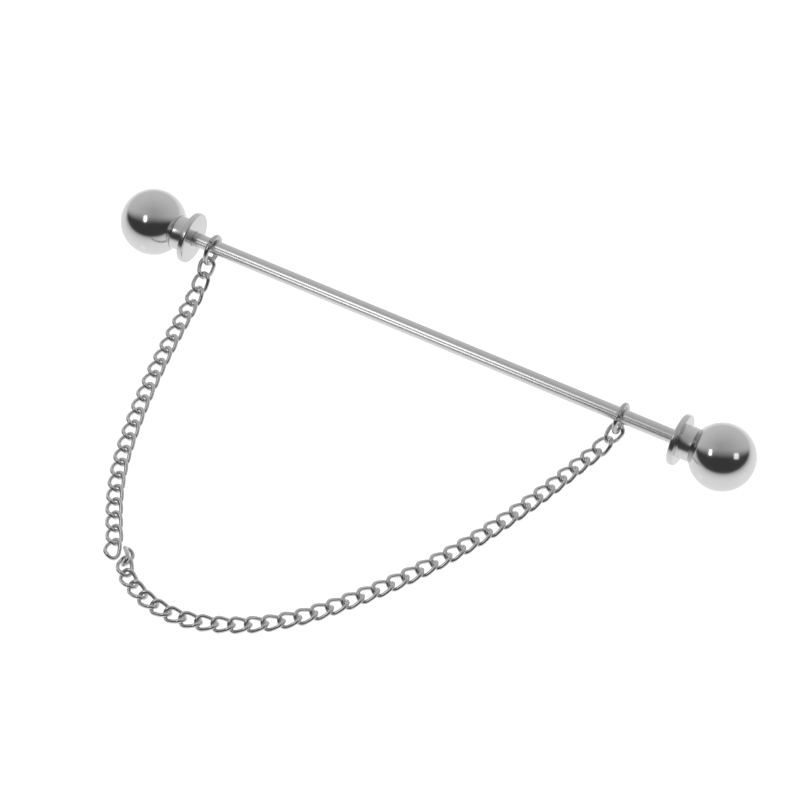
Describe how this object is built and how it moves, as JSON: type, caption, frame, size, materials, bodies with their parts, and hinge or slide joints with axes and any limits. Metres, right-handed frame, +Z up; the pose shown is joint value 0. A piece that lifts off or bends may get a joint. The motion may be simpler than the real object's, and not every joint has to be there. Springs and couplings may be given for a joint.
{
  "type": "collar bar with chain",
  "caption": "Straight collar bar with a ball at each end, one of which unscrews, and a curb chain hung between two jump rings.",
  "frame": {"origin": "middle of the bar's length between the two balls, on the bar's axis", "axes": "+X along the bar towards the end that unscrews, -Y towards the chain as it lies, +Z up from the surface that it lies on"},
  "size_m": [0.063, 0.0385, 0.006],
  "materials": {
    "bar_steel": "polished plating",
    "ball_chrome": "mirror polished plating",
    "collar_chrome": "turned and polished plating",
    "insert_brass": "machined",
    "ring_wire": "polished wire",
    "link_wire": "polished wire, darker in its creases"
  },
  "bodies": {
    "root": {"bar": "bar_steel", "left_ball": "ball_chrome", "left_collar": "collar_chrome"},
    "right_insert": {"right_insert": "insert_brass"},
    "right_cap": {"right_ball": "ball_chrome", "right_collar": "collar_chrome"},
    "left_ring": {"left_ring": "ring_wire"},
    "right_ring": {"right_ring": "ring_wire"},
    "left_link_01": {"left_link_01": "link_wire"},
    "left_link_02": {"left_link_02": "link_wire"},
    "left_link_03": {"left_link_03": "link_wire"},
    "left_link_04": {"left_link_04": "link_wire"},
    "left_links_05_06": {"left_links_05_06": "link_wire"},
    "left_links_07_08": {"left_links_07_08": "link_wire"},
    "left_links_09_10": {"left_links_09_10": "link_wire"},
    "left_links_11_12": {"left_links_11_12": "link_wire"},
    "left_links_13_14": {"left_links_13_14": "link_wire"},
    "left_links_15_16": {"left_links_15_16": "link_wire"},
    "left_links_17_18": {"left_links_17_18": "link_wire"},
    "left_links_19_20": {"left_links_19_20": "link_wire"},
    "left_links_21_22": {"left_links_21_22": "link_wire"},
    "left_link_23": {"left_link_23": "link_wire"},
    "right_link_01": {"right_link_01": "link_wire"},
    "right_link_02": {"right_link_02": "link_wire"},
    "right_link_03": {"right_link_03": "link_wire"},
    "right_link_04": {"right_link_04": "link_wire"},
    "right_link_05": {"right_link_05": "link_wire"},
    "right_link_06": {"right_link_06": "link_wire"},
    "right_link_07": {"right_link_07": "link_wire"},
    "right_link_08": {"right_link_08": "link_wire"},
    "right_link_09": {"right_link_09": "link_wire"},
    "right_link_10": {"right_link_10": "link_wire"},
    "right_link_11": {"right_link_11": "link_wire"},
    "right_link_12": {"right_link_12": "link_wire"},
    "right_link_13": {"right_link_13": "link_wire"},
    "right_link_14": {"right_link_14": "link_wire"},
    "right_link_15": {"right_link_15": "link_wire"},
    "right_link_16": {"right_link_16": "link_wire"},
    "right_link_17": {"right_link_17": "link_wire"},
    "right_link_18": {"right_link_18": "link_wire"},
    "right_link_19": {"right_link_19": "link_wire"},
    "right_link_20": {"right_link_20": "link_wire"},
    "right_link_21": {"right_link_21": "link_wire"},
    "right_link_22": {"right_link_22": "link_wire"},
    "right_link_23": {"right_link_23": "link_wire"},
    "right_link_24": {"right_link_24": "link_wire"},
    "right_link_25": {"right_link_25": "link_wire"},
    "right_link_26": {"right_link_26": "link_wire"},
    "right_link_27": {"right_link_27": "link_wire"},
    "right_link_28": {"right_link_28": "link_wire"},
    "right_link_29": {"right_link_29": "link_wire"},
    "right_link_30": {"right_link_30": "link_wire"},
    "right_link_31": {"right_link_31": "link_wire"},
    "right_link_32": {"right_link_32": "link_wire"},
    "right_link_33": {"right_link_33": "link_wire"},
    "right_link_34": {"right_link_34": "link_wire"},
    "right_link_35": {"right_link_35": "link_wire"},
    "right_link_36": {"right_link_36": "link_wire"},
    "right_link_37": {"right_link_37": "link_wire"},
    "right_link_38": {"right_link_38": "link_wire"}
  },
  "joints": [
    {"name": "right_cap_turn", "type": "hinge", "parent": "right_insert", "child": "right_cap", "pos_m": [0.0285, 0, 0], "axis": [1, 0, 0], "range_deg": [0, 3240]},
    {"name": "right_cap_travel", "type": "slide", "parent": "root", "child": "right_insert", "axis": [1, 0, 0], "range_m": [0, 0.00225]},
    {"name": "left_ring_slide", "type": "slide", "parent": "root", "child": "left_ring", "axis": [1, 0, 0], "range_m": [-0.001, 0.0044]},
    {"name": "right_ring_slide", "type": "slide", "parent": "root", "child": "right_ring", "axis": [1, 0, 0], "range_m": [-0.001, 0.0044]},
    {"name": "left_chain_swing", "type": "hinge", "parent": "left_ring", "child": "left_link_01", "pos_m": [-0.0222, -0.00027, -0.00022], "axis": [1, 0, 0], "range_deg": [-40, 40]},
    {"name": "left_link_02_tilt", "type": "hinge", "parent": "left_link_01", "child": "left_link_02", "pos_m": [-0.02213, -0.00214, -0.00171], "axis": [0.9975, 0.071, 0], "range_deg": [-18, 18]},
    {"name": "left_link_03_turn", "type": "hinge", "parent": "left_link_02", "child": "left_link_03", "pos_m": [-0.02203, -0.00344, -0.00227], "axis": [0, 0, -1], "range_deg": [0, 18]},
    {"name": "left_link_04_tilt", "type": "hinge", "parent": "left_link_03", "child": "left_link_04", "pos_m": [-0.02191, -0.00483, -0.00257], "axis": [-0.9959, -0.0909, 0], "range_deg": [-18, 18]},
    {"name": "left_links_05_06_turn", "type": "hinge", "parent": "left_link_04", "child": "left_links_05_06", "pos_m": [-0.02177, -0.00624, -0.00257], "axis": [0, 0, -1], "range_deg": [0, 18]},
    {"name": "left_links_07_08_tilt", "type": "hinge", "parent": "left_links_05_06", "child": "left_links_07_08", "pos_m": [-0.02146, -0.00906, -0.00257], "axis": [0.9927, 0.1206, 0], "range_deg": [-18, 18]},
    {"name": "left_links_09_10_turn", "type": "hinge", "parent": "left_links_07_08", "child": "left_links_09_10", "pos_m": [-0.02108, -0.01188, -0.00257], "axis": [0, 0, -1], "range_deg": [0, 18]},
    {"name": "left_links_11_12_tilt", "type": "hinge", "parent": "left_links_09_10", "child": "left_links_11_12", "pos_m": [-0.0206, -0.01468, -0.00257], "axis": [-0.9827, -0.1855, 0], "range_deg": [-18, 18]},
    {"name": "left_links_13_14_turn", "type": "hinge", "parent": "left_links_11_12", "child": "left_links_13_14", "pos_m": [-0.02003, -0.01746, -0.00257], "axis": [0, 0, -1], "range_deg": [0, 18]},
    {"name": "left_links_15_16_tilt", "type": "hinge", "parent": "left_links_13_14", "child": "left_links_15_16", "pos_m": [-0.01935, -0.02022, -0.00257], "axis": [0.9662, 0.2578, 0], "range_deg": [-18, 18]},
    {"name": "left_links_17_18_turn", "type": "hinge", "parent": "left_links_15_16", "child": "left_links_17_18", "pos_m": [-0.01854, -0.02294, -0.00257], "axis": [0, 0, -1], "range_deg": [0, 18]},
    {"name": "left_links_19_20_tilt", "type": "hinge", "parent": "left_links_17_18", "child": "left_links_19_20", "pos_m": [-0.01748, -0.02557, -0.00257], "axis": [-0.9063, -0.4226, 0], "range_deg": [-18, 18]},
    {"name": "left_links_21_22_turn", "type": "hinge", "parent": "left_links_19_20", "child": "left_links_21_22", "pos_m": [-0.01614, -0.02808, -0.00257], "axis": [0, 0, -1], "range_deg": [0, 18]},
    {"name": "left_link_23_tilt", "type": "hinge", "parent": "left_links_21_22", "child": "left_link_23", "pos_m": [-0.01465, -0.03049, -0.00257], "axis": [0.9031, 0.4295, 0], "range_deg": [-18, 18]},
    {"name": "right_chain_swing", "type": "hinge", "parent": "right_ring", "child": "right_link_01", "pos_m": [0.0188, -0.00011, -0.00033], "axis": [1, 0, 0], "range_deg": [-40, 40]},
    {"name": "right_link_02_tilt", "type": "hinge", "parent": "right_link_01", "child": "right_link_02", "pos_m": [0.01842, -0.00156, -0.002], "axis": [0.9275, -0.3738, 0], "range_deg": [-6, 18]},
    {"name": "right_link_03_turn", "type": "hinge", "parent": "right_link_02", "child": "right_link_03", "pos_m": [0.01786, -0.00273, -0.00257], "axis": [0, 0, 1], "range_deg": [0, 18]},
    {"name": "right_link_04_tilt", "type": "hinge", "parent": "right_link_03", "child": "right_link_04", "pos_m": [0.01736, -0.00406, -0.00257], "axis": [-0.9433, 0.3319, 0], "range_deg": [-18, 18]},
    {"name": "right_link_05_turn", "type": "hinge", "parent": "right_link_04", "child": "right_link_05", "pos_m": [0.01691, -0.00541, -0.00257], "axis": [0, 0, 1], "range_deg": [0, 18]},
    {"name": "right_link_06_tilt", "type": "hinge", "parent": "right_link_05", "child": "right_link_06", "pos_m": [0.01648, -0.00676, -0.00257], "axis": [0.9491, -0.315, 0], "range_deg": [-18, 18]},
    {"name": "right_link_07_turn", "type": "hinge", "parent": "right_link_06", "child": "right_link_07", "pos_m": [0.01602, -0.00811, -0.00257], "axis": [0, 0, 1], "range_deg": [0, 18]},
    {"name": "right_link_08_tilt", "type": "hinge", "parent": "right_link_07", "child": "right_link_08", "pos_m": [0.01554, -0.00944, -0.00257], "axis": [-0.9372, 0.3487, 0], "range_deg": [-18, 18]},
    {"name": "right_link_09_turn", "type": "hinge", "parent": "right_link_08", "child": "right_link_09", "pos_m": [0.01503, -0.01077, -0.00257], "axis": [0, 0, 1], "range_deg": [0, 18]},
    {"name": "right_link_10_tilt", "type": "hinge", "parent": "right_link_09", "child": "right_link_10", "pos_m": [0.0145, -0.01209, -0.00257], "axis": [0.9241, -0.3821, 0], "range_deg": [-18, 18]},
    {"name": "right_link_11_turn", "type": "hinge", "parent": "right_link_10", "child": "right_link_11", "pos_m": [0.01394, -0.01339, -0.00257], "axis": [0, 0, 1], "range_deg": [0, 18]},
    {"name": "right_link_12_tilt", "type": "hinge", "parent": "right_link_11", "child": "right_link_12", "pos_m": [0.01337, -0.01469, -0.00257], "axis": [-0.9099, 0.4149, 0], "range_deg": [-18, 18]},
    {"name": "right_link_13_turn", "type": "hinge", "parent": "right_link_12", "child": "right_link_13", "pos_m": [0.01277, -0.01598, -0.00257], "axis": [0, 0, 1], "range_deg": [0, 18]},
    {"name": "right_link_14_tilt", "type": "hinge", "parent": "right_link_13", "child": "right_link_14", "pos_m": [0.01214, -0.01725, -0.00257], "axis": [0.8911, -0.4537, 0], "range_deg": [-18, 18]},
    {"name": "right_link_15_turn", "type": "hinge", "parent": "right_link_14", "child": "right_link_15", "pos_m": [0.01148, -0.01851, -0.00257], "axis": [0, 0, 1], "range_deg": [0, 18]},
    {"name": "right_link_16_tilt", "type": "hinge", "parent": "right_link_15", "child": "right_link_16", "pos_m": [0.01079, -0.01975, -0.00257], "axis": [-0.8671, 0.4981, 0], "range_deg": [-18, 18]},
    {"name": "right_link_17_turn", "type": "hinge", "parent": "right_link_16", "child": "right_link_17", "pos_m": [0.01006, -0.02097, -0.00257], "axis": [0, 0, 1], "range_deg": [0, 18]},
    {"name": "right_link_18_tilt", "type": "hinge", "parent": "right_link_17", "child": "right_link_18", "pos_m": [0.00931, -0.02217, -0.00257], "axis": [0.8409, -0.5412, 0], "range_deg": [-18, 18]},
    {"name": "right_link_19_turn", "type": "hinge", "parent": "right_link_18", "child": "right_link_19", "pos_m": [0.00853, -0.02336, -0.00257], "axis": [0, 0, 1], "range_deg": [0, 18]},
    {"name": "right_link_20_tilt", "type": "hinge", "parent": "right_link_19", "child": "right_link_20", "pos_m": [0.00771, -0.02452, -0.00257], "axis": [-0.8125, 0.5829, 0], "range_deg": [-18, 18]},
    {"name": "right_link_21_turn", "type": "hinge", "parent": "right_link_20", "child": "right_link_21", "pos_m": [0.00687, -0.02567, -0.00257], "axis": [0, 0, 1], "range_deg": [0, 18]},
    {"name": "right_link_22_tilt", "type": "hinge", "parent": "right_link_21", "child": "right_link_22", "pos_m": [0.006, -0.02679, -0.00257], "axis": [0.7821, -0.6232, 0], "range_deg": [-18, 18]},
    {"name": "right_link_23_turn", "type": "hinge", "parent": "right_link_22", "child": "right_link_23", "pos_m": [0.0051, -0.02789, -0.00257], "axis": [0, 0, 1], "range_deg": [0, 18]},
    {"name": "right_link_24_tilt", "type": "hinge", "parent": "right_link_23", "child": "right_link_24", "pos_m": [0.00417, -0.02896, -0.00257], "axis": [-0.7409, 0.6717, 0], "range_deg": [-18, 18]},
    {"name": "right_link_25_turn", "type": "hinge", "parent": "right_link_24", "child": "right_link_25", "pos_m": [0.00319, -0.02999, -0.00257], "axis": [0, 0, 1], "range_deg": [0, 18]},
    {"name": "right_link_26_tilt", "type": "hinge", "parent": "right_link_25", "child": "right_link_26", "pos_m": [0.00214, -0.03094, -0.00257], "axis": [0.6377, -0.7703, 0], "range_deg": [-18, 18]},
    {"name": "right_link_27_turn", "type": "hinge", "parent": "right_link_26", "child": "right_link_27", "pos_m": [0.00101, -0.0318, -0.00257], "axis": [0, 0, -1], "range_deg": [0, 18]},
    {"name": "right_link_28_tilt", "type": "hinge", "parent": "right_link_27", "child": "right_link_28", "pos_m": [-0.00018, -0.03257, -0.00257], "axis": [-0.5103, 0.86, 0], "range_deg": [-18, 18]},
    {"name": "right_link_29_turn", "type": "hinge", "parent": "right_link_28", "child": "right_link_29", "pos_m": [-0.00143, -0.03325, -0.00257], "axis": [0, 0, -1], "range_deg": [0, 18]},
    {"name": "right_link_30_tilt", "type": "hinge", "parent": "right_link_29", "child": "right_link_30", "pos_m": [-0.00273, -0.03383, -0.00257], "axis": [0.3704, -0.9289, 0], "range_deg": [-18, 18]},
    {"name": "right_link_31_turn", "type": "hinge", "parent": "right_link_30", "child": "right_link_31", "pos_m": [-0.00407, -0.0343, -0.00257], "axis": [0, 0, -1], "range_deg": [0, 18]},
    {"name": "right_link_32_tilt", "type": "hinge", "parent": "right_link_31", "child": "right_link_32", "pos_m": [-0.00545, -0.03461, -0.00257], "axis": [-0.1428, 0.9897, 0], "range_deg": [-18, 18]},
    {"name": "right_link_33_turn", "type": "hinge", "parent": "right_link_32", "child": "right_link_33", "pos_m": [-0.00687, -0.0347, -0.00257], "axis": [0, 0, -1], "range_deg": [0, 18]},
    {"name": "right_link_34_tilt", "type": "hinge", "parent": "right_link_33", "child": "right_link_34", "pos_m": [-0.00828, -0.03457, -0.00257], "axis": [-0.1721, -0.9851, 0], "range_deg": [-18, 18]},
    {"name": "right_link_35_turn", "type": "hinge", "parent": "right_link_34", "child": "right_link_35", "pos_m": [-0.00966, -0.03422, -0.00257], "axis": [0, 0, -1], "range_deg": [0, 18]},
    {"name": "right_link_36_tilt", "type": "hinge", "parent": "right_link_35", "child": "right_link_36", "pos_m": [-0.01096, -0.03365, -0.00257], "axis": [0.47, 0.8827, 0], "range_deg": [-18, 18]},
    {"name": "right_link_37_turn", "type": "hinge", "parent": "right_link_36", "child": "right_link_37", "pos_m": [-0.01216, -0.03289, -0.00257], "axis": [0, 0, -1], "range_deg": [0, 6]},
    {"name": "right_link_38_tilt", "type": "hinge", "parent": "right_link_37", "child": "right_link_38", "pos_m": [-0.01292, -0.03169, -0.00257], "axis": [-0.842, -0.5394, 0], "range_deg": [-6, 18]}
  ],
  "couplings": [
    {"joint": "right_cap_turn", "follows": "right_cap_travel", "rad_per_m": 25129},
    {"joint": "right_ring_slide", "follows": "left_ring_slide", "ratio": 1},
    {"joint": "left_chain_swing", "follows": "right_chain_swing", "ratio": 1}
  ]
}
